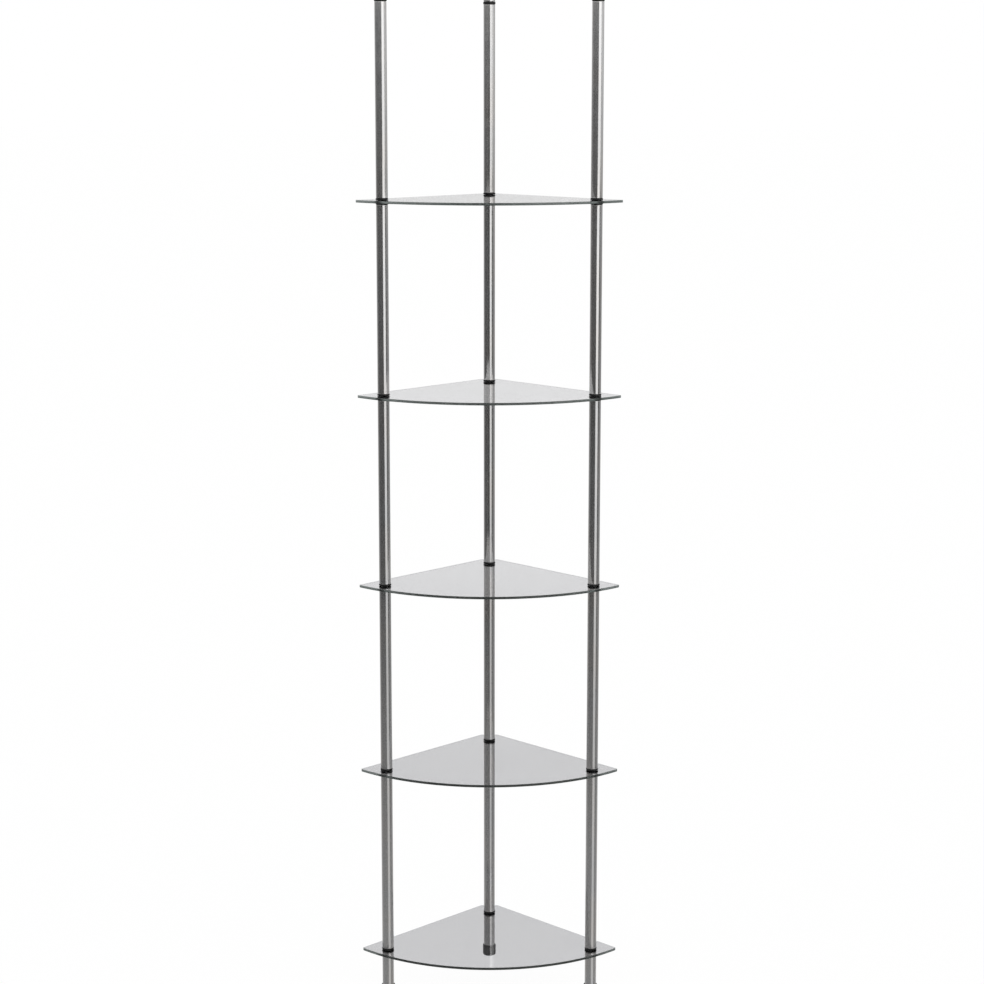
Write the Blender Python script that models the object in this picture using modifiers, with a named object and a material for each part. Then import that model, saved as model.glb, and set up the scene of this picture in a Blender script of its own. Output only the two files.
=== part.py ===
"""Corner shelving unit: quarter-round glass shelves on three posts of steel tubes that screw together.

Metres, +Z up. The curved fronts of the shelves face -Y and the corner of the room is at +Y. The origin is
on the floor, under the middle of the unit's box. Shelves, tubes and grommets are numbered from the floor up.
"""

import math

import bmesh
import bpy
from mathutils import Vector

# Shelves
SHELF_COUNT = 5
SHELF_RADIUS = 0.300  # length of a straight edge, from the corner of the room to the curved front
GLASS_THICKNESS = 0.004
CORNER_CLIP = 0.020  # cut off each straight edge at the corner of the room
TIP_RADIUS = 0.004  # rounding where a straight edge meets the curved front

# Places of the posts, from the post's axis to the shelf's edges
POST_WALL_INSET = 0.034
POST_FRONT_INSET = 0.025

# Tubes
TUBE_DIAMETER = 0.019
TUBE_WALL = 0.001
SHELF_TUBE_LENGTH = 0.300
TOP_TUBE_LENGTH = 0.303
LEG_TUBE_LENGTH = 0.054
TUBE_PLUG_LENGTH = 0.012  # plug welded into a tube's lower end, which carries its stud
TUBE_COLLAR_LENGTH = 0.022  # threaded collar welded into a tube's upper end

# Studs
STUD_DIAMETER = 0.008
STUD_ENGAGEMENT = 0.015  # length of stud inside the collar below it
STUD_CLEARANCE = 0.0003  # on the radius
LEG_STUD_SPACING = 0.010  # between the tips of the two studs that meet inside a leg

# Rubber grommets, one in each hole of each shelf
GROMMET_FLANGE_THICKNESS = 0.0026
GROMMET_LIP = 0.0005  # flange beyond the tube, on the radius
GROMMET_NECK_WALL = 0.0014
GROMMET_NECK_CLEARANCE = 0.0003  # between the neck and the glass, on the radius

# Caps on the top tubes
CAP_RING_THICKNESS = 0.004
CAP_SIDE_HEIGHT = 0.006
CAP_DOME_HEIGHT = 0.004

# Levelling feet
FOOT_HEIGHT = 0.018
FOOT_LIP = 0.0018  # foot beyond the tube, on the radius
FOOT_RIM_RADIUS = 0.0035
FOOT_SOLE_THICKNESS = 0.005  # plastic under the stud

# Gap between faces that rest on each other
SEAT_GAP = 0.0003

# Sides of round shapes
ROUND_SIDES = 16
FRONT_ARC_SIDES = 24
TIP_ARC_SIDES = 3
DOME_SIDES = 4
RIM_SIDES = 3
SHARP_ANGLE = math.radians(32)

# Sizes that follow
TUBE_RADIUS = TUBE_DIAMETER / 2
STUD_RADIUS = STUD_DIAMETER / 2
THREAD_BORE_RADIUS = STUD_RADIUS + STUD_CLEARANCE
GROMMET_NECK_RADIUS = THREAD_BORE_RADIUS + GROMMET_NECK_WALL
GLASS_HOLE_RADIUS = GROMMET_NECK_RADIUS + GROMMET_NECK_CLEARANCE
FLANGE_RADIUS = TUBE_RADIUS + GROMMET_LIP
FLANGE_SEAT = GROMMET_FLANGE_THICKNESS + SEAT_GAP
SHELF_JOINT_HEIGHT = GLASS_THICKNESS + 2 * FLANGE_SEAT + 2 * SEAT_GAP
CAP_JOINT_HEIGHT = CAP_RING_THICKNESS + 2 * SEAT_GAP
SHELF_PITCH = SHELF_TUBE_LENGTH + SHELF_JOINT_HEIGHT
LEG_BASE = FOOT_HEIGHT + SEAT_GAP
FIRST_JOINT_BASE = LEG_BASE + LEG_TUBE_LENGTH
CORNER_Y = (SHELF_RADIUS + CORNER_CLIP * math.sqrt(0.5)) / 2  # puts the middle of the depth at y = 0

LEFT_EDGE = Vector((-math.sqrt(0.5), -math.sqrt(0.5)))
RIGHT_EDGE = Vector((math.sqrt(0.5), -math.sqrt(0.5)))

UNIT_NAME = "glass_corner_shelving_unit"


def clear_scene():
    for obj in list(bpy.data.objects):
        bpy.data.objects.remove(obj, do_unlink=True)


def make_material(name, colour, roughness, metallic=0.0, transmission=0.0):
    material = bpy.data.materials.new(name)
    material.use_nodes = True
    shader = material.node_tree.nodes["Principled BSDF"]
    shader.inputs["Base Color"].default_value = (*colour, 1.0)
    shader.inputs["Roughness"].default_value = roughness
    shader.inputs["Metallic"].default_value = metallic
    shader.inputs["Transmission Weight"].default_value = transmission
    return material


def solid_mesh(guide, material):
    """The finished mesh of a curve or a screwed profile, welded, with round faces smooth and edges sharp."""
    bpy.context.view_layer.update()
    evaluated = guide.evaluated_get(bpy.context.evaluated_depsgraph_get())
    mesh = bpy.data.meshes.new_from_object(evaluated)
    mesh.name = guide.name
    bpy.data.objects.remove(guide, do_unlink=True)
    welded = bmesh.new()
    welded.from_mesh(mesh)
    bmesh.ops.remove_doubles(welded, verts=welded.verts, dist=1e-6)
    welded.to_mesh(mesh)
    welded.free()
    mesh.shade_smooth()
    mesh.set_sharp_from_angle(angle=SHARP_ANGLE)
    mesh.materials.clear()
    mesh.materials.append(material)
    return mesh


def turned_mesh(name, profile, material, is_ring=False):
    """A solid of revolution about Z. The profile of (radius, height) runs down its outer side.

    A ring's profile closes on itself. Any other profile starts and ends on the axis.
    """
    points = [(radius, 0.0, height) for radius, height in profile]
    edges = [(i, i + 1) for i in range(len(points) - 1)]
    if is_ring:
        edges.append((len(points) - 1, 0))
    outline = bpy.data.meshes.new(name + "_profile")
    outline.from_pydata(points, edges, [])
    guide = bpy.data.objects.new(name, outline)
    bpy.context.scene.collection.objects.link(guide)
    screw = guide.modifiers.new("Turn", "SCREW")
    screw.axis = "Z"
    screw.steps = ROUND_SIDES
    screw.render_steps = ROUND_SIDES
    screw.use_merge_vertices = True
    screw.merge_threshold = 0.00001
    return solid_mesh(guide, material)


def arc_points(centre, radius, start, end, sides):
    """Points on a circular arc, with both ends."""
    angles = [start + (end - start) * i / sides for i in range(sides + 1)]
    return [
        (centre[0] + radius * math.cos(angle), centre[1] + radius * math.sin(angle))
        for angle in angles
    ]


def shelf_point(along_left, along_right):
    """Plan position at these distances from the corner of the room along the two straight edges."""
    return Vector((0.0, CORNER_Y)) + along_left * LEFT_EDGE + along_right * RIGHT_EDGE


def shelf_outline():
    """The quarter disc, as distances along the two straight edges, round from the clipped corner."""
    arc_radius = SHELF_RADIUS - TIP_RADIUS
    tip_along = math.sqrt(arc_radius**2 - TIP_RADIUS**2)
    tip_angle = math.asin(TIP_RADIUS / arc_radius)
    tip = arc_points((tip_along, TIP_RADIUS), TIP_RADIUS, -math.pi / 2, tip_angle, TIP_ARC_SIDES)
    front = arc_points((0, 0), SHELF_RADIUS, tip_angle, math.pi / 2 - tip_angle, FRONT_ARC_SIDES)
    other_tip = [(right, left) for left, right in reversed(tip)]
    return [(CORNER_CLIP, 0), *tip, *front[1:-1], *other_tip, (0, CORNER_CLIP)]


def add_loop(curve, points):
    loop = curve.splines.new("POLY")
    loop.points.add(len(points) - 1)
    for point, (x, y) in zip(loop.points, points):
        point.co = (x, y, 0.0, 1.0)
    loop.use_cyclic_u = True


def shelf_mesh(material, posts):
    """A flat sheet of glass with a hole at each post, its middle at height 0."""
    curve = bpy.data.curves.new("glass_shelf", "CURVE")
    curve.dimensions = "2D"
    curve.fill_mode = "BOTH"
    curve.extrude = GLASS_THICKNESS / 2
    add_loop(curve, [shelf_point(left, right) for left, right in shelf_outline()])
    for post in posts:
        hole = arc_points(post, GLASS_HOLE_RADIUS, 0, 2 * math.pi, ROUND_SIDES)
        add_loop(curve, hole[:-1])
    guide = bpy.data.objects.new("glass_shelf", curve)
    bpy.context.scene.collection.objects.link(guide)
    return solid_mesh(guide, material)


def tube_mesh(name, length, stud_length, material):
    """A tube with a plug and stud at its lower end, and a threaded collar at its upper end."""
    inside = TUBE_RADIUS - TUBE_WALL
    collar_base = length - TUBE_COLLAR_LENGTH
    profile = [
        (0, TUBE_PLUG_LENGTH),
        (inside, TUBE_PLUG_LENGTH),
        (inside, collar_base),
        (THREAD_BORE_RADIUS, collar_base),
        (THREAD_BORE_RADIUS, length),
        (TUBE_RADIUS, length),
        (TUBE_RADIUS, 0),
        (STUD_RADIUS, 0),
        (STUD_RADIUS, -stud_length),
        (0, -stud_length),
    ]
    return turned_mesh(name, profile, material)


def leg_mesh(material):
    """A short leg, threaded right through for the foot below it and the tube above it."""
    profile = [
        (THREAD_BORE_RADIUS, LEG_TUBE_LENGTH),
        (TUBE_RADIUS, LEG_TUBE_LENGTH),
        (TUBE_RADIUS, 0),
        (THREAD_BORE_RADIUS, 0),
    ]
    return turned_mesh("leg_tube", profile, material, is_ring=True)


def grommet_mesh(material):
    """A spool of rubber: a flange on each face of the glass, and a neck through its hole."""
    neck = GLASS_THICKNESS + 2 * SEAT_GAP
    upper = GROMMET_FLANGE_THICKNESS + neck
    top = upper + GROMMET_FLANGE_THICKNESS
    profile = [
        (THREAD_BORE_RADIUS, top),
        (FLANGE_RADIUS, top),
        (FLANGE_RADIUS, upper),
        (GROMMET_NECK_RADIUS, upper),
        (GROMMET_NECK_RADIUS, GROMMET_FLANGE_THICKNESS),
        (FLANGE_RADIUS, GROMMET_FLANGE_THICKNESS),
        (FLANGE_RADIUS, 0),
        (THREAD_BORE_RADIUS, 0),
    ]
    return turned_mesh("grommet", profile, material, is_ring=True)


def cap_ring_mesh(material):
    """The washer between a top tube and its cap."""
    profile = [
        (THREAD_BORE_RADIUS, CAP_RING_THICKNESS),
        (FLANGE_RADIUS, CAP_RING_THICKNESS),
        (FLANGE_RADIUS, 0),
        (THREAD_BORE_RADIUS, 0),
    ]
    return turned_mesh("cap_ring", profile, material, is_ring=True)


def cap_mesh(material):
    """A low domed cap on a stud."""
    stud_length = CAP_JOINT_HEIGHT + STUD_ENGAGEMENT
    quarter = [math.pi / 2 * i / DOME_SIDES for i in range(DOME_SIDES + 1)]
    dome = [
        (TUBE_RADIUS * math.sin(angle), CAP_SIDE_HEIGHT + CAP_DOME_HEIGHT * math.cos(angle))
        for angle in quarter
    ]
    stud = [(TUBE_RADIUS, 0), (STUD_RADIUS, 0), (STUD_RADIUS, -stud_length), (0, -stud_length)]
    return turned_mesh("cap", dome + stud, material)


def foot_pad_mesh(material):
    """A moulded foot with a rounded lower rim, and a blind hole for its stud."""
    radius = TUBE_RADIUS + FOOT_LIP
    rim = arc_points((radius - FOOT_RIM_RADIUS, FOOT_RIM_RADIUS), FOOT_RIM_RADIUS, 0, -math.pi / 2, RIM_SIDES)
    profile = [
        (0, FOOT_SOLE_THICKNESS),
        (THREAD_BORE_RADIUS, FOOT_SOLE_THICKNESS),
        (THREAD_BORE_RADIUS, FOOT_HEIGHT),
        (radius, FOOT_HEIGHT),
        *rim,
        (0, 0),
    ]
    return turned_mesh("foot_pad", profile, material)


def foot_stud_mesh(material):
    """The threaded stud of a foot, from the foot's blind hole up into the leg."""
    engagement = LEG_TUBE_LENGTH - STUD_ENGAGEMENT - LEG_STUD_SPACING
    base = FOOT_SOLE_THICKNESS + SEAT_GAP
    top = LEG_BASE + engagement
    profile = [(0, top), (STUD_RADIUS, top), (STUD_RADIUS, base), (0, base)]
    return turned_mesh("foot_stud", profile, material)


def add_axis(name, plan, collection):
    """An empty on a post's axis, at floor level. A foot's travel and turn are on this axis too."""
    axis = bpy.data.objects.new(name, None)
    axis.location = (plan[0], plan[1], 0.0)
    collection.objects.link(axis)
    return axis


def add_piece(name, mesh, height, collection, axis=None):
    piece = bpy.data.objects.new(name, mesh)
    piece.location = (0.0, 0.0, height)
    piece.parent = axis
    collection.objects.link(piece)


def main():
    clear_scene()
    unit = bpy.data.collections.new(UNIT_NAME)
    bpy.context.scene.collection.children.link(unit)

    glass = make_material("shelf_glass", (0.72, 0.75, 0.75), 0.03, transmission=1.0)
    steel = make_material("post_steel", (0.60, 0.59, 0.59), 0.16, metallic=1.0)
    cap_steel = make_material("cap_steel", (0.62, 0.61, 0.61), 0.14, metallic=1.0)
    stud_steel = make_material("stud_steel", (0.46, 0.46, 0.45), 0.35, metallic=1.0)
    rubber = make_material("grommet_rubber", (0.010, 0.010, 0.011), 0.55)
    plastic = make_material("foot_plastic", (0.022, 0.022, 0.024), 0.22)

    front_along = math.sqrt((SHELF_RADIUS - POST_FRONT_INSET) ** 2 - POST_WALL_INSET**2)
    posts = {
        "left": shelf_point(front_along, POST_WALL_INSET),
        "right": shelf_point(POST_WALL_INSET, front_along),
        "rear": shelf_point(POST_WALL_INSET, POST_WALL_INSET),
    }

    sheet = shelf_mesh(glass, posts.values())
    shelf_stud = SHELF_JOINT_HEIGHT + STUD_ENGAGEMENT
    shelf_tube = tube_mesh("shelf_tube", SHELF_TUBE_LENGTH, shelf_stud, steel)
    top_tube = tube_mesh("top_tube", TOP_TUBE_LENGTH, shelf_stud, steel)
    leg = leg_mesh(steel)
    grommet = grommet_mesh(rubber)
    cap_ring = cap_ring_mesh(rubber)
    cap = cap_mesh(cap_steel)
    foot_pad = foot_pad_mesh(plastic)
    foot_stud = foot_stud_mesh(stud_steel)

    joint_bases = [FIRST_JOINT_BASE + i * SHELF_PITCH for i in range(SHELF_COUNT)]
    glass_middle = SEAT_GAP + FLANGE_SEAT + GLASS_THICKNESS / 2
    for number, base in enumerate(joint_bases, start=1):
        add_piece(f"glass_shelf_{number}", sheet, base + glass_middle, unit)

    top_tube_base = joint_bases[-1] + SHELF_JOINT_HEIGHT
    cap_joint_base = top_tube_base + TOP_TUBE_LENGTH
    for side, plan in posts.items():
        axis = add_axis(f"{side}_post_axis", plan, unit)
        add_piece(f"{side}_foot_pad", foot_pad, 0.0, unit, axis)
        add_piece(f"{side}_foot_stud", foot_stud, 0.0, unit, axis)
        add_piece(f"{side}_leg_tube", leg, LEG_BASE, unit, axis)
        for number, base in enumerate(joint_bases, start=1):
            add_piece(f"{side}_grommet_{number}", grommet, base + SEAT_GAP, unit, axis)
        for number, base in enumerate(joint_bases[:-1], start=1):
            add_piece(f"{side}_tube_{number}", shelf_tube, base + SHELF_JOINT_HEIGHT, unit, axis)
        add_piece(f"{side}_top_tube", top_tube, top_tube_base, unit, axis)
        add_piece(f"{side}_cap_ring", cap_ring, cap_joint_base + SEAT_GAP, unit, axis)
        add_piece(f"{side}_cap", cap, cap_joint_base + CAP_JOINT_HEIGHT, unit, axis)


main()
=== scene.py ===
"""Looks of the glass corner shelving unit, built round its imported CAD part.

Metres, +Z up. The curved fronts of the shelves face -Y, and the corner of the room is at +Y.
"""

import math

import bmesh
import bpy
import numpy as np
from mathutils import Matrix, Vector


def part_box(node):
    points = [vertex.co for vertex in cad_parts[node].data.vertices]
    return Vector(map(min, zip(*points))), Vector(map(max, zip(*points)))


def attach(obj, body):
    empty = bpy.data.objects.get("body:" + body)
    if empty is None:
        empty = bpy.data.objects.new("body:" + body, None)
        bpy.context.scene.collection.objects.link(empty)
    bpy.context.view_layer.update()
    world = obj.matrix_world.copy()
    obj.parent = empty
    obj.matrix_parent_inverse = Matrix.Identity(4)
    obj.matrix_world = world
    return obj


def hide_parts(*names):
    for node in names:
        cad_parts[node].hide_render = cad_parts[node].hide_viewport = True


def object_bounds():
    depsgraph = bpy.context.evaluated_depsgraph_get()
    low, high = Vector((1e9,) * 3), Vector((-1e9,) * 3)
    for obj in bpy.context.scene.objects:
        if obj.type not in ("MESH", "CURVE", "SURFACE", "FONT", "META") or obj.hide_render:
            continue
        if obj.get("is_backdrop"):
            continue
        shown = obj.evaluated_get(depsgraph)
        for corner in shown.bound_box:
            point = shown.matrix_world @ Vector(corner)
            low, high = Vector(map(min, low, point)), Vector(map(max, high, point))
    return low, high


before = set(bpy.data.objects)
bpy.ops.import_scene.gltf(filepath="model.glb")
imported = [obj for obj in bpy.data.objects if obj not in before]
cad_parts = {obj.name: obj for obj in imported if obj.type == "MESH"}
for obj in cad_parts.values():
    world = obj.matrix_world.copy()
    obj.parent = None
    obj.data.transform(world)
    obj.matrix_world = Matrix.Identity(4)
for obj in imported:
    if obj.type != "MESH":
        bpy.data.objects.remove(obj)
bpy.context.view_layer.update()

# Foot pads: one under each post, a short moulding of glossy black plastic with a rounded lower rim.
# Each is pressed on the end of a levelling screw, and turns with it on the floor.
POSTS = ("left", "right", "rear")
PAD_RIM_CURVE = 0.0026
PAD_TOP_SOFTENING = 0.0016
PAD_SIDE_FROM = 1.5 * PAD_RIM_CURVE
PAD_SIDE_TO = 2.0 * PAD_TOP_SOFTENING
PAD_BORE_RADIUS = 0.0043
PAD_BORE_CHAMFER = 0.0003
PAD_SOLE_THICKNESS = 0.005
PAD_SIDES = 72
SAME_POINT = 1e-7
SHARP_ANGLE = math.radians(35)
EVENLY = (1.0, 1.0, 1.0)
NOISE_ROUGHNESS = 0.55
PAD_BLACK = (0.0030, 0.0030, 0.0033)
PAD_GREY = (0.0065, 0.0065, 0.0070)


def softened(corners, cuts, steps=6):
    """A profile with its corners rounded.

    Each corner P is cut back by its own length along both of its sides, to A and B, and the gap is
    bridged by the curve (1-s)^2 A + 2 s (1-s) P + s^2 B. A cut of 0 keeps the corner sharp.
    """
    corners = np.asarray(corners, float)
    cuts = np.asarray(cuts, float)[:, None]
    to_last = np.roll(corners, 1, axis=0) - corners
    to_next = np.roll(corners, -1, axis=0) - corners
    start = corners + cuts * to_last / np.linalg.norm(to_last, axis=1, keepdims=True)
    end = corners + cuts * to_next / np.linalg.norm(to_next, axis=1, keepdims=True)
    s = np.linspace(0.0, 1.0, steps)[None, :, None]
    curve = (1 - s) ** 2 * start[:, None] + 2 * s * (1 - s) * corners[:, None] + s**2 * end[:, None]
    points = curve.reshape(-1, 2)
    moved_on = np.linalg.norm(points - np.roll(points, 1, axis=0), axis=1) > SAME_POINT
    return points[moved_on]


def grid_quads(rows, columns, rows_close=False):
    """Faces between neighbouring points of a grid whose columns close on themselves."""
    row = np.arange(rows if rows_close else rows - 1)[:, None]
    column = np.arange(columns)[None, :]
    above = (row + 1) % rows
    beside = (column + 1) % columns
    corners = (
        row * columns + column,
        row * columns + beside,
        above * columns + beside,
        above * columns + column,
    )
    return np.stack(corners, axis=-1).reshape(-1, 4)


def end_fans(rows, columns, low_pole, high_pole):
    """Triangles that close the first and last rows of such a grid onto a point below and one above."""
    column = np.arange(columns)
    beside = (column + 1) % columns
    top_row = (rows - 1) * columns
    below = np.stack([np.full(columns, low_pole), beside, column], axis=-1)
    above = np.stack([np.full(columns, high_pole), top_row + column, top_row + beside], axis=-1)
    return below.tolist() + above.tolist()


def turned_mesh(name, profile, axis, sides, is_ring=False):
    """A turned piece: a profile of (radius, height) that runs up its outside, carried once round an axis.

    x = axis x + radius cos(turn), y = axis y + radius sin(turn), z = height. A ring's profile closes on
    itself. Any other profile starts and ends on the axis, where a fan of triangles closes it.
    """
    rings = profile if is_ring else profile[1:-1]
    turn = np.linspace(0.0, 2.0 * np.pi, sides, endpoint=False)
    x = axis[0] + np.outer(rings[:, 0], np.cos(turn))
    y = axis[1] + np.outer(rings[:, 0], np.sin(turn))
    z = np.outer(rings[:, 1], np.ones(sides))
    points = np.stack([x, y, z], axis=-1).reshape(-1, 3)
    faces = grid_quads(len(rings), sides, rows_close=is_ring).tolist()
    if not is_ring:
        poles = [(axis[0], axis[1], profile[0, 1]), (axis[0], axis[1], profile[-1, 1])]
        faces += end_fans(len(rings), sides, len(points), len(points) + 1)
        points = np.concatenate([points, poles])
    mesh = bpy.data.meshes.new(name)
    mesh.from_pydata(points.tolist(), [], faces)
    mesh.shade_smooth()
    mesh.set_sharp_from_angle(angle=SHARP_ANGLE)
    return mesh


def upright_axis(low, high):
    """Where a turned piece's axis stands in plan: the middle of its box."""
    return ((low.x + high.x) / 2, (low.y + high.y) / 2)


def add_piece(name, mesh, materials, node, body):
    """Puts a finished mesh in the scene, on its CAD body and in its CAD node's place."""
    for material in materials:
        mesh.materials.append(material)
    piece = bpy.data.objects.new(name, mesh)
    bpy.context.scene.collection.objects.link(piece)
    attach(piece, body)
    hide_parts(node)


def new_material(name):
    """A new material, with its node tree and its Principled shader."""
    material = bpy.data.materials.new(name)
    material.use_nodes = True
    return material, material.node_tree, material.node_tree.nodes["Principled BSDF"]


def set_inputs(tree, node, inputs):
    """Sets a node's inputs. Another node's output is linked, and any other value goes on the socket."""
    for socket, value in inputs.items():
        if isinstance(value, bpy.types.NodeSocket):
            tree.links.new(value, node.inputs[socket])
        else:
            node.inputs[socket].default_value = value


def add_node(tree, kind, inputs, **settings):
    """A shader node of this kind, with its settings and inputs."""
    node = tree.nodes.new(kind)
    for setting, value in settings.items():
        setattr(node, setting, value)
    set_inputs(tree, node, inputs)
    return node


def noise(tree, stretch, scale, detail=3.0):
    """Noise in the piece's own metres, stretched along x, y and z. The result runs from 0 to 1."""
    place = add_node(tree, "ShaderNodeTexCoord", {})
    mapping = add_node(tree, "ShaderNodeMapping", {"Vector": place.outputs["Object"], "Scale": stretch})
    inputs = {
        "Vector": mapping.outputs["Vector"],
        "Scale": scale,
        "Detail": detail,
        "Roughness": NOISE_ROUGHNESS,
    }
    return add_node(tree, "ShaderNodeTexNoise", inputs).outputs["Fac"]


def spread(tree, value, low, high, start=0.3, end=0.7):
    """Maps a value between start and end to a number between low and high. The defaults suit noise."""
    inputs = {"Value": value, "From Min": start, "From Max": end, "To Min": low, "To Max": high}
    return add_node(tree, "ShaderNodeMapRange", inputs).outputs["Result"]


def shades(tree, value, *colours):
    """A ramp of evenly spaced colours over a number from 0 to 1."""
    ramp = add_node(tree, "ShaderNodeValToRGB", {"Fac": value})
    stops = ramp.color_ramp.elements
    for _ in colours[2:]:
        stops.new(0.5)
    for place, (stop, colour) in enumerate(zip(stops, colours)):
        stop.position = place / (len(colours) - 1)
        stop.color = (*colour, 1.0)
    return ramp.outputs["Color"]


def raise_grain(tree, shader, height, strength, depth):
    """Surface relief of this depth in metres, from a height between 0 and 1."""
    bump = add_node(tree, "ShaderNodeBump", {"Height": height, "Strength": strength, "Distance": depth})
    tree.links.new(bump.outputs["Normal"], shader.inputs["Normal"])


def glossy_black_plastic():
    """Moulded black plastic: a faint orange-peel skin, and handling marks that dull the gloss."""
    material, tree, shader = new_material("glossy_black_plastic")
    marks = noise(tree, EVENLY, scale=160.0)
    skin = noise(tree, EVENLY, scale=900.0, detail=1.0)
    set_inputs(tree, shader, {
        "Base Color": shades(tree, spread(tree, marks, 0.0, 1.0), PAD_BLACK, PAD_GREY),
        "Roughness": spread(tree, marks, low=0.05, high=0.09),
        "IOR": 1.7,
        "Specular IOR Level": 0.70,
    })
    raise_grain(tree, shader, skin, strength=0.25, depth=0.00003)
    return material


pad_plastic = glossy_black_plastic()
for post in POSTS:
    node = f"{post}_foot_pad"
    low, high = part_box(node)
    pad_radius = (high.x - low.x) / 2
    pad_corners = [
        (0.0, low.z),
        (pad_radius, low.z),
        (pad_radius, low.z + PAD_SIDE_FROM),
        (pad_radius, high.z - PAD_SIDE_TO),
        (pad_radius, high.z),
        (PAD_BORE_RADIUS, high.z),
        (PAD_BORE_RADIUS, low.z + PAD_SOLE_THICKNESS),
        (0.0, low.z + PAD_SOLE_THICKNESS),
    ]
    pad_cuts = [0.0, PAD_RIM_CURVE, 0.0, 0.0, PAD_TOP_SOFTENING, PAD_BORE_CHAMFER, 0.0, 0.0]
    profile = softened(pad_corners, pad_cuts, steps=9)
    pad = turned_mesh(f"{post}_foot_moulding", profile, upright_axis(low, high), PAD_SIDES)
    add_piece(pad.name, pad, [pad_plastic], node, node)

# Levelling screws: a length of zinc-plated M8 thread in each foot, screwed up into the leg above it.
# The thread is hidden while the foot is screwed home, and shows as the foot is let down.
SCREW_PITCH = 0.00125
SCREW_THREAD_DEPTH = 0.00062
SCREW_CREST = 0.12
SCREW_FLANK = 0.70
SCREW_LEAD_IN = 0.0012
SCREW_END_DEPTH = 1.2 * SCREW_THREAD_DEPTH
SCREW_ROWS_PER_PITCH = 10
SCREW_SIDES = 48
SCREW_SHARP_ANGLE = math.radians(50)
ZINC_LIGHT = (0.56, 0.56, 0.54)
ZINC_DARK = (0.42, 0.42, 0.40)


def screw_mesh(name, axis, low, high, radius):
    """A threaded rod: radius as a function of height and turn.

    The phase (height / pitch - turn / full turn) climbs one pitch in each turn. A wave of that phase,
    cut flat at the crest and the root, takes the thread's depth off the radius, and the radius
    narrows to just under the root at both ends.
    """
    rows = int(round((high - low) / SCREW_PITCH * SCREW_ROWS_PER_PITCH)) + 1
    height = np.linspace(low, high, rows)[:, None]
    turn = np.linspace(0.0, 2.0 * np.pi, SCREW_SIDES, endpoint=False)[None, :]
    phase = (height / SCREW_PITCH - turn / (2.0 * np.pi)) % 1.0
    slope = np.abs(2.0 * phase - 1.0)
    groove = np.clip((slope - SCREW_CREST) / SCREW_FLANK, 0.0, 1.0)
    from_end = np.minimum(height - low, high - height)
    lead_in = SCREW_END_DEPTH * np.clip(1.0 - from_end / SCREW_LEAD_IN, 0.0, 1.0)
    distance = np.minimum(radius - SCREW_THREAD_DEPTH * groove, radius - lead_in)
    x = axis[0] + distance * np.cos(turn)
    y = axis[1] + distance * np.sin(turn)
    z = np.broadcast_to(height, x.shape)
    points = np.stack([x, y, z], axis=-1).reshape(-1, 3)
    ends = [(axis[0], axis[1], low), (axis[0], axis[1], high)]
    faces = grid_quads(rows, SCREW_SIDES).tolist()
    faces += end_fans(rows, SCREW_SIDES, len(points), len(points) + 1)
    mesh = bpy.data.meshes.new(name)
    mesh.from_pydata(np.concatenate([points, ends]).tolist(), [], faces)
    mesh.shade_smooth()
    mesh.set_sharp_from_angle(angle=SCREW_SHARP_ANGLE)
    return mesh


def zinc_plated_steel():
    """Bright zinc on rolled thread: cloudy plating, and grease that darkens it in patches."""
    material, tree, shader = new_material("zinc_plated_steel")
    clouds = noise(tree, EVENLY, scale=240.0, detail=4.0)
    set_inputs(tree, shader, {
        "Base Color": shades(tree, spread(tree, clouds, 0.0, 1.0), ZINC_DARK, ZINC_LIGHT),
        "Roughness": spread(tree, clouds, low=0.40, high=0.26),
        "Metallic": 1.0,
    })
    return material


zinc = zinc_plated_steel()
for post in POSTS:
    node = f"{post}_foot_stud"
    low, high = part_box(node)
    screw_radius = (high.x - low.x) / 2
    screw = screw_mesh(f"{post}_foot_screw", upright_axis(low, high), low.z, high.z, screw_radius)
    add_piece(screw.name, screw, [zinc], node, node)

# Posts: each is a stack of polished steel tubes, a short leg, four between the shelves and one above.
# A plug with a stud is welded into the lower end of a tube, and screws into a collar in the one below.
TUBE_WALL = 0.001
TUBE_END_SOFTENING = 0.0007
TUBE_END_LENGTH = 0.0015
TUBE_STUD_RADIUS = 0.004
TUBE_STUD_LENGTH = 0.0254
TUBE_STUD_CHAMFER = 0.0006
TUBE_PLUG_LENGTH = 0.012
TUBE_COLLAR_LENGTH = 0.022
TUBE_BORE_RADIUS = 0.0043
TUBE_BORE_CHAMFER = 0.0004
TUBE_LEVELS = range(1, 5)
TUBE_SIDES = 96
ALONG_AXIS = (1.0, 1.0, 0.35)
ROUND_AXIS = (0.03, 0.03, 1.0)
STEEL_COOL = (0.600, 0.600, 0.605)
STEEL_PLAIN = (0.625, 0.618, 0.612)
STEEL_WARM = (0.640, 0.618, 0.600)


def polished_steel():
    """Polished steel tube: fine lines left round it by the belt, faint warm patches of painted reflection,
    and dull patches.
    """
    material, tree, shader = new_material("polished_steel")
    # Painted reflection: warm patches in the steel's colour stand in for warm surroundings mirrored in it.
    warm_reflection_patches = noise(tree, ALONG_AXIS, scale=38.0, detail=2.0)
    belt_lines = noise(tree, ROUND_AXIS, scale=5200.0, detail=2.0)
    handling = noise(tree, (1.0, 1.0, 0.5), scale=90.0, detail=4.0)
    set_inputs(tree, shader, {
        "Base Color": shades(tree, spread(tree, warm_reflection_patches, 0.0, 1.0), STEEL_COOL, STEEL_PLAIN, STEEL_WARM),
        "Roughness": spread(tree, handling, low=0.11, high=0.17),
        "Metallic": 0.92,
    })
    raise_grain(tree, shader, belt_lines, strength=0.05, depth=0.00002)
    return material


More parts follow.
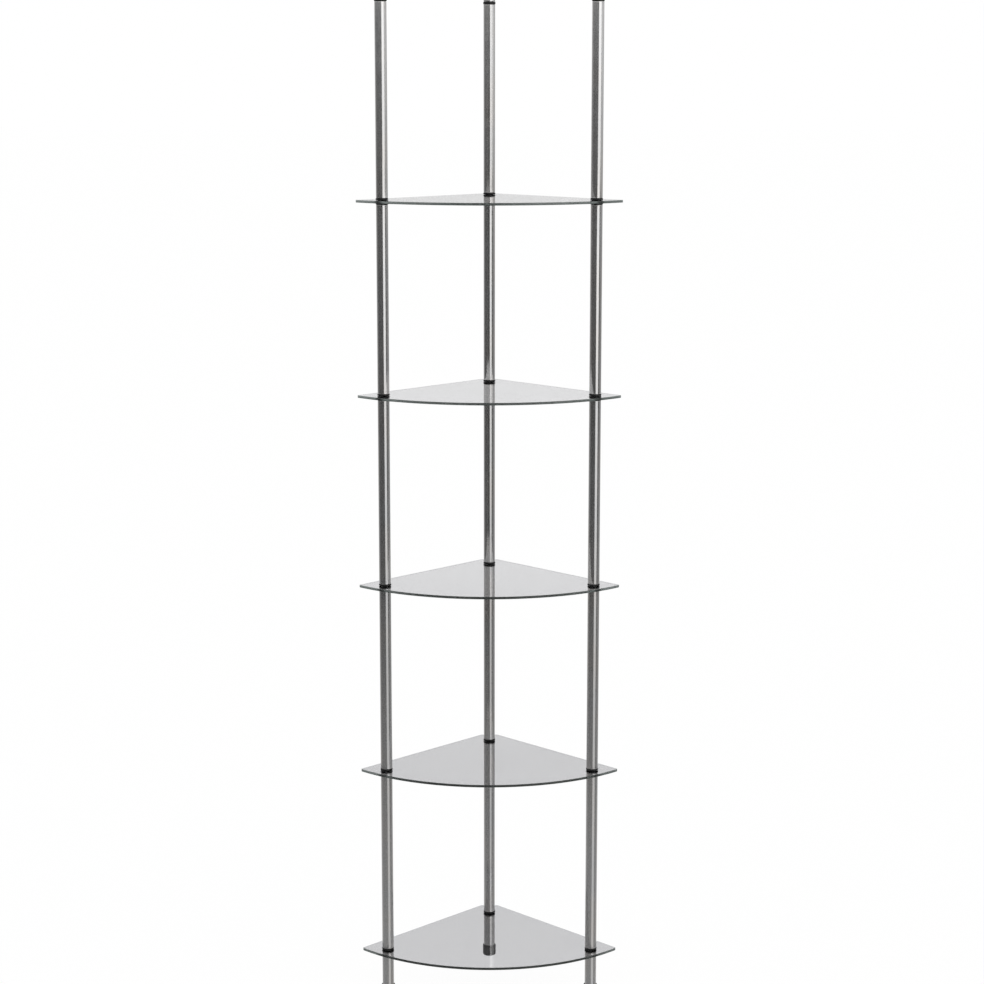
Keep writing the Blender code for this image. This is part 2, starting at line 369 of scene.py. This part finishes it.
def tube_profile(radius, low, high):
    """A tube with a stud below its plug, and the collar and hollow above the plug.

    A point a little in from each end keeps the shading of the long side straight.
    """
    base = low + TUBE_STUD_LENGTH
    inside = radius - TUBE_WALL
    corners_and_cuts = [
        ((0.0, low), 0.0),
        ((TUBE_STUD_RADIUS, low), TUBE_STUD_CHAMFER),
        ((TUBE_STUD_RADIUS, base), 0.0),
        ((radius, base), TUBE_END_SOFTENING),
        ((radius, base + TUBE_END_LENGTH), 0.0),
        ((radius, high - TUBE_END_LENGTH), 0.0),
        ((radius, high), TUBE_END_SOFTENING),
        ((TUBE_BORE_RADIUS, high), TUBE_BORE_CHAMFER),
        ((TUBE_BORE_RADIUS, high - TUBE_COLLAR_LENGTH), 0.0),
        ((inside, high - TUBE_COLLAR_LENGTH), 0.0),
        ((inside, base + TUBE_PLUG_LENGTH), 0.0),
        ((0.0, base + TUBE_PLUG_LENGTH), 0.0),
    ]
    return softened(*zip(*corners_and_cuts))


def leg_profile(radius, low, high):
    """A leg, bored right through for the stud above it and the levelling screw below it."""
    corners_and_cuts = [
        ((TUBE_BORE_RADIUS, low), TUBE_BORE_CHAMFER),
        ((radius, low), TUBE_END_SOFTENING),
        ((radius, low + TUBE_END_LENGTH), 0.0),
        ((radius, high - TUBE_END_LENGTH), 0.0),
        ((radius, high), TUBE_END_SOFTENING),
        ((TUBE_BORE_RADIUS, high), TUBE_BORE_CHAMFER),
    ]
    return softened(*zip(*corners_and_cuts))


steel = polished_steel()
for post in POSTS:
    between_shelves = [f"{post}_tube_{level}" for level in TUBE_LEVELS]
    for node in [f"{post}_leg_tube", *between_shelves, f"{post}_top_tube"]:
        low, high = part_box(node)
        is_leg = node.endswith("leg_tube")
        make_profile = leg_profile if is_leg else tube_profile
        profile = make_profile((high.x - low.x) / 2, low.z, high.z)
        tube = turned_mesh(f"{node}_steel", profile, upright_axis(low, high), TUBE_SIDES, is_ring=is_leg)
        add_piece(tube.name, tube, [steel], node, "unit")

# Grommets: black rubber spools, one in each hole of each shelf, with a flange on each face of the glass.
# The tubes clamp the flanges, so the steel never touches the glass. A plain ring lies under each cap.
GROMMET_FLANGE_THICKNESS = 0.0026
GROMMET_BORE_RADIUS = 0.0043
GROMMET_BORE_CHAMFER = 0.0003
GROMMET_NECK_RADIUS = 0.0057
GROMMET_FLANGE_CURVE = 0.0009
GROMMET_LEVELS = range(1, 6)
GROMMET_SIDES = 72
RUBBER_BLACK = (0.0065, 0.0065, 0.0068)
RUBBER_BLOOM = (0.0120, 0.0120, 0.0122)


def black_rubber():
    """Moulded rubber: a fine matt skin, with a grey bloom in patches."""
    material, tree, shader = new_material("black_rubber")
    bloom = noise(tree, EVENLY, scale=320.0, detail=4.0)
    skin = noise(tree, EVENLY, scale=2600.0, detail=2.0)
    set_inputs(tree, shader, {
        "Base Color": shades(tree, spread(tree, bloom, 0.0, 1.0), RUBBER_BLACK, RUBBER_BLOOM),
        "Roughness": spread(tree, bloom, low=0.38, high=0.55),
        "Specular IOR Level": 0.45,
    })
    raise_grain(tree, shader, skin, strength=0.35, depth=0.00004)
    return material


def grommet_profile(radius, low, high):
    """A spool: bore, lower flange, neck and upper flange, with rounded rims."""
    lower, upper = low + GROMMET_FLANGE_THICKNESS, high - GROMMET_FLANGE_THICKNESS
    corners_and_cuts = [
        ((GROMMET_BORE_RADIUS, low), GROMMET_BORE_CHAMFER),
        ((radius, low), GROMMET_FLANGE_CURVE),
        ((radius, lower), GROMMET_FLANGE_CURVE),
        ((GROMMET_NECK_RADIUS, lower), 0.0),
        ((GROMMET_NECK_RADIUS, upper), 0.0),
        ((radius, upper), GROMMET_FLANGE_CURVE),
        ((radius, high), GROMMET_FLANGE_CURVE),
        ((GROMMET_BORE_RADIUS, high), GROMMET_BORE_CHAMFER),
    ]
    return softened(*zip(*corners_and_cuts))


def ring_profile(radius, low, high):
    """The plain ring under a cap: a bore and one flange, with rounded rims."""
    corners_and_cuts = [
        ((GROMMET_BORE_RADIUS, low), GROMMET_BORE_CHAMFER),
        ((radius, low), GROMMET_FLANGE_CURVE),
        ((radius, high), GROMMET_FLANGE_CURVE),
        ((GROMMET_BORE_RADIUS, high), GROMMET_BORE_CHAMFER),
    ]
    return softened(*zip(*corners_and_cuts))


rubber = black_rubber()
for post in POSTS:
    at_shelves = [f"{post}_grommet_{level}" for level in GROMMET_LEVELS]
    for node in [*at_shelves, f"{post}_cap_ring"]:
        low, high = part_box(node)
        make_profile = ring_profile if node.endswith("cap_ring") else grommet_profile
        profile = make_profile((high.x - low.x) / 2, low.z, high.z)
        spool = turned_mesh(f"{node}_rubber", profile, upright_axis(low, high), GROMMET_SIDES, is_ring=True)
        add_piece(spool.name, spool, [rubber], node, "unit")

# Shelves: quarter-round sheets of 4 mm glass, drilled for the three posts, with the curved fronts polished.
# The corner towards the room's corner is clipped, and the straight edges along the walls are left ground.
SHELF_RADIUS = 0.300
SHELF_CORNER_CLIP = 0.020
SHELF_TIP_RADIUS = 0.004
SHELF_CLIP_RADIUS = 0.002
SHELF_FRONT_POINTS = 161
SHELF_TIP_POINTS = 13
SHELF_CLIP_POINTS = 7
SHELF_ARRIS = 0.0006
SHELF_HOLE_RADIUS = 0.0060
SHELF_HOLE_ARRIS = 0.0004
SHELF_HOLE_SIDES = 48
SHELF_LEVELS = range(1, 6)
SAME_PLACE = 1e-6
FACING_WALL = 0.5
LYING_FLAT = 0.999
GLASS_IOR = 1.52
GLASS_CLEAN = (0.768, 0.768, 0.783)
GLASS_SMEARED = (0.749, 0.748, 0.763)
EDGE_DARK = (0.012, 0.019, 0.017)
EDGE_GREEN = (0.062, 0.080, 0.072)
EDGE_PALE = (0.170, 0.198, 0.187)
GROUND_GREY = (0.820, 0.850, 0.840)
GROUND_WHITE = (0.900, 0.920, 0.915)
GROUND_FROM_INSIDE = (0.780, 0.785, 0.795)


def heading(angle):
    """Unit vectors in plan. Angle 0 points to the front and a quarter turn to the right."""
    return np.stack([np.sin(angle), -np.cos(angle)], axis=-1)


def shelf_rim(corner):
    """The shelf's rim in plan, anticlockwise, with its outward directions.

    The rim is five arcs joined by straight lines: the front about the room's corner, a small arc at each
    tip, and one at each end of the clip. Each point is centre + radius * heading, so the headings are
    the outward directions too.
    """
    eighth = np.pi / 4
    tip_turn = np.arcsin(SHELF_TIP_RADIUS / (SHELF_RADIUS - SHELF_TIP_RADIUS))
    front_end = eighth - tip_turn
    clip_inset = SHELF_CLIP_RADIUS / np.cos(eighth / 2)
    right_tip = corner + (SHELF_RADIUS - SHELF_TIP_RADIUS) * heading(front_end)
    left_tip = corner + (SHELF_RADIUS - SHELF_TIP_RADIUS) * heading(-front_end)
    right_clip = corner + SHELF_CORNER_CLIP * heading(eighth) - clip_inset * heading(3.5 * eighth)
    left_clip = corner + SHELF_CORNER_CLIP * heading(-eighth) - clip_inset * heading(4.5 * eighth)
    arcs = [
        (corner, SHELF_RADIUS, -front_end, front_end, SHELF_FRONT_POINTS),
        (right_tip, SHELF_TIP_RADIUS, front_end, 3 * eighth, SHELF_TIP_POINTS),
        (right_clip, SHELF_CLIP_RADIUS, 3 * eighth, 4 * eighth, SHELF_CLIP_POINTS),
        (left_clip, SHELF_CLIP_RADIUS, 4 * eighth, 5 * eighth, SHELF_CLIP_POINTS),
        (left_tip, SHELF_TIP_RADIUS, 5 * eighth, 8 * eighth - front_end, SHELF_TIP_POINTS),
    ]
    outward = [heading(np.linspace(start, end, count)) for _, _, start, end, count in arcs]
    points = [centre + radius * out for (centre, radius, *_), out in zip(arcs, outward)]
    points, outward = np.concatenate(points), np.concatenate(outward)
    moved_on = np.linalg.norm(points - np.roll(points, 1, axis=0), axis=1) > SAME_PLACE
    return points[moved_on], outward[moved_on]


def hole_rim(centre):
    """A hole's rim in plan, clockwise. Its outward directions point to the hole's middle."""
    inward = -heading(np.linspace(2.0 * np.pi, 0.0, SHELF_HOLE_SIDES, endpoint=False))
    return centre - SHELF_HOLE_RADIUS * inward, inward


def rim_band(points, outward, low, high, arris):
    """The edge of the glass: an arrised upright profile of (distance out, height) carried along a rim."""
    corners = [(-arris, low), (0.0, low), (0.0, high), (-arris, high)]
    profile = softened(corners, [0.0, arris, arris, 0.0], steps=4)
    plan = points[None] + profile[:, 0, None, None] * outward[None]
    height = np.broadcast_to(profile[:, 1, None, None], (*plan.shape[:2], 1))
    return np.concatenate([plan, height], axis=-1)


def shelf_mesh(name, corner, holes, low, high):
    """A sheet of glass: a band along each rim, with the two faces filled in between the bands.

    The materials are those of the faces, the polished edges and the ground edges, which face the walls.
    The attribute edge_rise is 0 at the lower face and 1 at the upper one.
    """
    rim, outward = shelf_rim(corner)
    bands = [rim_band(rim, outward, low, high, SHELF_ARRIS)]
    bands += [rim_band(*hole_rim(np.array(hole)), low, high, SHELF_HOLE_ARRIS) for hole in holes]
    counts = [band.shape[0] * band.shape[1] for band in bands]
    starts = np.concatenate([[0], np.cumsum(counts)[:-1]])
    quads = [start + grid_quads(*band.shape[:2]) for start, band in zip(starts, bands)]
    finishes = [np.ones(len(quad), int) for quad in quads]
    at_wall = outward[:, 1] > FACING_WALL
    finishes[0] += np.tile(at_wall & np.roll(at_wall, -1), bands[0].shape[0] - 1)
    points = np.concatenate([band.reshape(-1, 3) for band in bands])
    mesh = bpy.data.meshes.new(name)
    mesh.from_pydata(points.tolist(), [], np.concatenate(quads).tolist())
    mesh.polygons.foreach_set("material_index", np.concatenate(finishes))
    mesh.shade_smooth()
    sheet = bmesh.new()
    sheet.from_mesh(mesh)
    for height, normal in ((low, (0, 0, -1)), (high, (0, 0, 1))):
        open_edges = [edge for edge in sheet.edges if edge.is_boundary]
        border = [edge for edge in open_edges if abs(edge.verts[0].co.z - height) < SAME_PLACE]
        bmesh.ops.triangle_fill(sheet, edges=border, use_beauty=True, normal=normal)
    for face in sheet.faces:
        if abs(face.normal.z) > LYING_FLAT:
            face.smooth = False
            face.material_index = 0
    bmesh.ops.recalc_face_normals(sheet, faces=sheet.faces)
    sheet.to_mesh(mesh)
    sheet.free()
    places = np.empty(3 * len(mesh.vertices))
    mesh.vertices.foreach_get("co", places)
    rise = mesh.attributes.new("edge_rise", "FLOAT", "POINT")
    rise.data.foreach_set("value", (places[2::3] - low) / (high - low))
    return mesh


def calculate(tree, operation, first, second):
    """One step of arithmetic on two numbers or node outputs."""
    return add_node(tree, "ShaderNodeMath", {0: first, 1: second}, operation=operation).outputs[0]


def blend(tree, share, first, second):
    """Two shaders in one: a share of 0 shows the first alone, and a share of 1 the second."""
    return add_node(tree, "ShaderNodeMixShader", {0: share, 1: first.outputs[0], 2: second.outputs[0]})


def show(tree, shader):
    """Makes this shader the one that the material's surface shows."""
    tree.links.new(shader.outputs[0], tree.nodes["Material Output"].inputs["Surface"])


def clear_glass():
    """Grey-tinted float glass: clean and clear, with faint wiped smears that dull it slightly."""
    material, tree, shader = new_material("clear_glass")
    smears = noise(tree, (1.0, 0.3, 1.0), scale=22.0, detail=4.0)
    smeared = spread(tree, smears, 0.0, 1.0, start=0.45, end=0.8)
    set_inputs(tree, shader, {
        "Base Color": shades(tree, smeared, GLASS_CLEAN, GLASS_SMEARED),
        "Roughness": spread(tree, smears, low=0.0, high=0.02, start=0.5, end=0.8),
        "Transmission Weight": 1.0,
        "IOR": GLASS_IOR,
    })
    return material


def polished_glass_edge():
    """The edge of the same glass, looked along the sheet: grey-green, with painted shade that darkens it
    towards the lower face, and darker in stretches.
    """
    material, tree, shader = new_material("polished_glass_edge")
    rise = add_node(tree, "ShaderNodeAttribute", {}, attribute_name="edge_rise").outputs["Fac"]
    stretches = noise(tree, EVENLY, scale=9.0)
    streaks = noise(tree, (1.0, 1.0, 6.0), scale=45.0, detail=4.0)
    # Painted shade: the edge's colour runs from dark at the lower face to pale at the upper one.
    painted_shade_by_height = spread(tree, rise, low=0.0, high=0.6, start=0.15, end=0.85)
    tone = calculate(tree, "ADD", painted_shade_by_height, spread(tree, stretches, low=0.0, high=0.4))
    set_inputs(tree, shader, {
        "Base Color": shades(tree, tone, EDGE_DARK, EDGE_GREEN, EDGE_PALE),
        "Roughness": spread(tree, streaks, low=0.40, high=0.55),
        "Transmission Weight": 0.84,
        "IOR": GLASS_IOR,
    })
    return material


def ground_glass_edge():
    """The straight edges at the walls, ground and never polished: pale and frosted, with a sandy grain.

    Seen through the sheet, from inside the glass, they are as clear as its faces, and so, mostly, is the
    upper arris.
    """
    material, tree, shader = new_material("ground_glass_edge")
    sand = noise(tree, EVENLY, scale=700.0)
    set_inputs(tree, shader, {
        "Base Color": shades(tree, spread(tree, sand, 0.0, 1.0), GROUND_GREY, GROUND_WHITE),
        "Roughness": spread(tree, sand, low=0.70, high=0.90),
        "Transmission Weight": 0.85,
        "IOR": GLASS_IOR,
    })
    inside = add_node(tree, "ShaderNodeNewGeometry", {}).outputs["Backfacing"]
    clear = add_node(tree, "ShaderNodeBsdfTransparent", {"Color": (*GROUND_FROM_INSIDE, 1.0)})
    rise = add_node(tree, "ShaderNodeAttribute", {}, attribute_name="edge_rise").outputs["Fac"]
    at_arris = spread(tree, rise, low=0.0, high=0.8, start=0.84, end=0.88)
    show(tree, blend(tree, calculate(tree, "MAXIMUM", inside, at_arris), shader, clear))
    return material


glass_materials = [clear_glass(), polished_glass_edge(), ground_glass_edge()]
post_axes = [upright_axis(*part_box(f"{post}_leg_tube")) for post in POSTS]
for level in SHELF_LEVELS:
    node = f"glass_shelf_{level}"
    low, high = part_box(node)
    room_corner = np.array([(low.x + high.x) / 2, low.y + SHELF_RADIUS])
    sheet = shelf_mesh(f"{node}_sheet", room_corner, post_axes, low.z, high.z)
    add_piece(sheet.name, sheet, glass_materials, node, "unit")

# Caps: a low polished steel dome closes the top of each post, turned from bar with a stud below it.
# Its stud screws down through the black ring into the collar of the top tube.
CAP_STUD_RADIUS = 0.004
CAP_STUD_LENGTH = 0.0196
CAP_STUD_CHAMFER = 0.0006
CAP_SIDE_HEIGHT = 0.006
CAP_SOFTENING = 0.0006
CAP_DOME_STEPS = 14
CAP_SIDES = 96
CAP_LIGHT = (0.640, 0.634, 0.630)
CAP_DARK = (0.600, 0.595, 0.595)


def cap_profile(radius, low, high):
    """Stud, flat seat and upright side, then a quarter of an ellipse over the top."""
    seat = low + CAP_STUD_LENGTH
    shoulder = seat + CAP_SIDE_HEIGHT
    corners_and_cuts = [
        ((0.0, low), 0.0),
        ((CAP_STUD_RADIUS, low), CAP_STUD_CHAMFER),
        ((CAP_STUD_RADIUS, seat), 0.0),
        ((radius, seat), CAP_SOFTENING),
        ((radius, seat + 2.0 * CAP_SOFTENING), 0.0),
        ((radius, shoulder), 0.0),
    ]
    side = softened(*zip(*corners_and_cuts))
    rise = np.linspace(0.0, np.pi / 2, CAP_DOME_STEPS)[1:]
    dome = np.stack([radius * np.cos(rise), shoulder + (high - shoulder) * np.sin(rise)], axis=-1)
    dome[-1, 0] = 0.0
    return np.concatenate([side, dome])


def turned_steel():
    """Steel turned and polished on a lathe: very fine rings round the axis, and faint cloudy marks."""
    material, tree, shader = new_material("turned_steel")
    clouds = noise(tree, EVENLY, scale=120.0, detail=4.0)
    rings = noise(tree, ROUND_AXIS, scale=5200.0, detail=2.0)
    set_inputs(tree, shader, {
        "Base Color": shades(tree, spread(tree, clouds, 0.0, 1.0), CAP_DARK, CAP_LIGHT),
        "Roughness": spread(tree, clouds, low=0.10, high=0.17),
        "Metallic": 0.92,
    })
    raise_grain(tree, shader, rings, strength=0.05, depth=0.00002)
    return material


cap_steel = turned_steel()
for post in POSTS:
    node = f"{post}_cap"
    low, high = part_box(node)
    profile = cap_profile((high.x - low.x) / 2, low.z, high.z)
    dome = turned_mesh(f"{post}_cap_dome", profile, upright_axis(low, high), CAP_SIDES)
    add_piece(dome.name, dome, [cap_steel], node, "unit")

# Floor: a plain white studio floor, wide enough to reach past every view.
# The eye sees it as white, straight and through the glass, with a little of the soft shadow on it.
FLOOR_HALF_WIDTH = 60.0
FLOOR_WHITE = (0.98, 0.98, 0.98)
FLOOR_SELF_WHITE = 0.96
PURE_WHITE = (1.0, 1.0, 1.0, 1.0)


def flat_sheet(name, corners):
    """A stage sheet through four corners, in order round it."""
    mesh = bpy.data.meshes.new(name)
    mesh.from_pydata([tuple(corner) for corner in corners], [], [(0, 1, 2, 3)])
    sheet = bpy.data.objects.new(name, mesh)
    bpy.context.scene.collection.objects.link(sheet)
    sheet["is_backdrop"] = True
    return sheet


def ray_kinds(tree):
    """Two numbers, 0 or 1: is this ray the eye's, straight or through glass, and was it reflected?"""
    path = add_node(tree, "ShaderNodeLightPath", {}).outputs
    reflected = calculate(tree, "GREATER_THAN", path["Glossy Depth"], 0.5)
    straight = calculate(tree, "LESS_THAN", path["Glossy Depth"], 0.5)
    through_glass = calculate(tree, "MULTIPLY", path["Is Transmission Ray"], straight)
    return calculate(tree, "MAXIMUM", path["Is Camera Ray"], through_glass), reflected


def studio_floor_white():
    """Matt white, helped to full white for the eye. Reflections look through it, to panels and room."""
    material, tree, shader = new_material("studio_floor_white")
    set_inputs(tree, shader, {
        "Base Color": (*FLOOR_WHITE, 1.0),
        "Roughness": 0.9,
        "Specular IOR Level": 0.0,
    })
    seen, reflected = ray_kinds(tree)
    share = calculate(tree, "MULTIPLY", seen, FLOOR_SELF_WHITE)
    white = add_node(tree, "ShaderNodeEmission", {"Color": PURE_WHITE, "Strength": 1.0})
    clear = add_node(tree, "ShaderNodeBsdfTransparent", {})
    show(tree, blend(tree, reflected, blend(tree, share, shader, white), clear))
    return material


floor_corners = FLOOR_HALF_WIDTH * np.array([(-1, -1, 0), (1, -1, 0), (1, 1, 0), (-1, 1, 0)])
floor = flat_sheet("studio_floor", floor_corners.tolist())
floor.data.materials.append(studio_floor_white())

# Light: a tall soft panel to the right of the camera, a wider one above it, and a dim one at the right.
# In reflections the room is dimmest a little below the eye's level. It is pale behind the unit, and in a
# band all round above the eye's level. These places are given by the height or depth of a direction.
PANEL_DISTANCE = 3.0
KEY_BEARING = math.radians(32)
KEY_WIDTH = 2.4
KEY_LOW, KEY_HIGH = -1.8, 1.2
KEY_DIM_AT, KEY_BRIGHT_AT = -0.25, 1.2
KEY_DIM, KEY_BRIGHT = 0.66, 1.43
UPPER_BEARING = math.radians(42.5)
UPPER_WIDTH = 2.9
UPPER_LOW, UPPER_HIGH = 1.2, 2.8
UPPER_DIM_AT, UPPER_BRIGHT_AT = 1.25, 1.7
UPPER_DIM, UPPER_BRIGHT = 1.17, 1.55
FILL_BEARING = math.radians(96)
FILL_WIDTH = 2.4
FILL_LOW, FILL_HIGH = -0.5, 2.8
FILL_DIM_AT, FILL_BRIGHT_AT = 0.95, 1.65
FILL_DIM, FILL_BRIGHT = 0.24, 0.80
ROOM_LIGHT = 0.95
ROOM_BELOW, ROOM_DIMMEST, ROOM_LEVEL = 0.30, 0.036, 0.085
ROOM_BELOW_AT, ROOM_DIM_FROM, ROOM_DIM_TO, ROOM_LEVEL_AT = -0.38, -0.21, -0.11, 0.02
BACKDROP_BRIGHT, BACKDROP_DIM = 0.80, 0.12
BACKDROP_BRIGHT_AT, BACKDROP_DIM_AT = 0.19, 0.345
BEHIND_FROM, BEHIND_FULL = -0.60, 0.95
BEHIND_FALLOFF = 3.0
ABOVE_FROM, ABOVE_FULL = 0.03, 0.09


def light_panel(name, bearing, width, low, high, dim_at, bright_at, dim, bright):
    """An upright panel that faces the unit, brighter towards its top. The eye looks through it."""
    toward = heading(bearing)
    along = heading(bearing + math.pi / 2)
    start = toward * PANEL_DISTANCE - along * width / 2
    end = toward * PANEL_DISTANCE + along * width / 2
    panel = flat_sheet(name, [(*start, low), (*end, low), (*end, high), (*start, high)])
    material, tree, _ = new_material(name)
    place = add_node(tree, "ShaderNodeTexCoord", {})
    parts = add_node(tree, "ShaderNodeSeparateXYZ", {"Vector": place.outputs["Object"]})
    strength = spread(tree, parts.outputs["Z"], dim, bright, dim_at, bright_at)
    glow = add_node(tree, "ShaderNodeEmission", {"Strength": strength})
    clear = add_node(tree, "ShaderNodeBsdfTransparent", {})
    seen, _ = ray_kinds(tree)
    show(tree, blend(tree, seen, glow, clear))
    panel.data.materials.append(material)
    panel.visible_camera = False
    panel.visible_shadow = False


light_panel(
    "key_panel", KEY_BEARING, KEY_WIDTH, KEY_LOW, KEY_HIGH,
    KEY_DIM_AT, KEY_BRIGHT_AT, KEY_DIM, KEY_BRIGHT
)
light_panel(
    "upper_panel", UPPER_BEARING, UPPER_WIDTH, UPPER_LOW, UPPER_HIGH,
    UPPER_DIM_AT, UPPER_BRIGHT_AT, UPPER_DIM, UPPER_BRIGHT
)
light_panel(
    "fill_panel", FILL_BEARING, FILL_WIDTH, FILL_LOW, FILL_HIGH,
    FILL_DIM_AT, FILL_BRIGHT_AT, FILL_DIM, FILL_BRIGHT
)


def studio_world():
    """White to the eye and through the glass, pale light on the unit, and a dim room in reflections."""
    world = bpy.data.worlds.new("studio_world")
    world.use_nodes = True
    tree = world.node_tree
    tree.nodes.clear()
    place = add_node(tree, "ShaderNodeTexCoord", {})
    parts = add_node(tree, "ShaderNodeSeparateXYZ", {"Vector": place.outputs["Generated"]})
    height = parts.outputs["Z"]
    backdrop = spread(tree, height, BACKDROP_BRIGHT, BACKDROP_DIM, BACKDROP_BRIGHT_AT, BACKDROP_DIM_AT)
    below = spread(tree, height, ROOM_BELOW, ROOM_DIMMEST, ROOM_BELOW_AT, ROOM_DIM_FROM)
    level = spread(tree, height, ROOM_DIMMEST, ROOM_LEVEL, ROOM_DIM_TO, ROOM_LEVEL_AT)
    room = calculate(tree, "MAXIMUM", below, level)
    depth = spread(tree, parts.outputs["Y"], 0.0, 1.0, BEHIND_FROM, BEHIND_FULL)
    behind = calculate(tree, "POWER", depth, BEHIND_FALLOFF)
    above = spread(tree, height, 0.0, 1.0, ABOVE_FROM, ABOVE_FULL)
    pale_part = calculate(tree, "MAXIMUM", behind, above)
    mix = add_node(tree, "ShaderNodeMix", {"Factor": pale_part, 2: room, 3: backdrop})
    room_strength = mix.outputs["Result"]
    dim_room = add_node(tree, "ShaderNodeBackground", {"Color": PURE_WHITE, "Strength": room_strength})
    pale_light = add_node(tree, "ShaderNodeBackground", {"Color": PURE_WHITE, "Strength": ROOM_LIGHT})
    white = add_node(tree, "ShaderNodeBackground", {"Color": PURE_WHITE, "Strength": 1.0})
    seen, reflected = ray_kinds(tree)
    shown = blend(tree, seen, blend(tree, reflected, pale_light, dim_room), white)
    add_node(tree, "ShaderNodeOutputWorld", {"Surface": shown.outputs[0]})
    return world


bpy.context.scene.world = studio_world()

# Camera: a long lens a little above the top shelf, looking slightly down, at the photograph's angle.
# A small shift puts the middle of the lens on the pixel where the photograph has it.
IMAGE_PIXELS = 984
SENSOR_WIDTH = 36.0
FOCAL_PIXELS = 2277.7
CAMERA_PLACE = (0.0, -3.6642, 1.5165)
CAMERA_PITCH = math.radians(10.122)
MIDDLE_PIXEL = (489.35, 480.5)

lens = bpy.data.cameras.new("photo_camera")
lens.sensor_width = SENSOR_WIDTH
lens.lens = FOCAL_PIXELS / IMAGE_PIXELS * SENSOR_WIDTH
lens.shift_x = (IMAGE_PIXELS / 2 - MIDDLE_PIXEL[0]) / IMAGE_PIXELS
lens.shift_y = (MIDDLE_PIXEL[1] - IMAGE_PIXELS / 2) / IMAGE_PIXELS
camera = bpy.data.objects.new("photo_camera", lens)
camera.location = CAMERA_PLACE
camera.rotation_euler = (math.pi / 2 - CAMERA_PITCH, 0.0, 0.0)
bpy.context.scene.collection.objects.link(camera)
bpy.context.scene.camera = camera
bpy.context.scene.view_settings.view_transform = "Standard"

# The finished unit's box.
low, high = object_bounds()
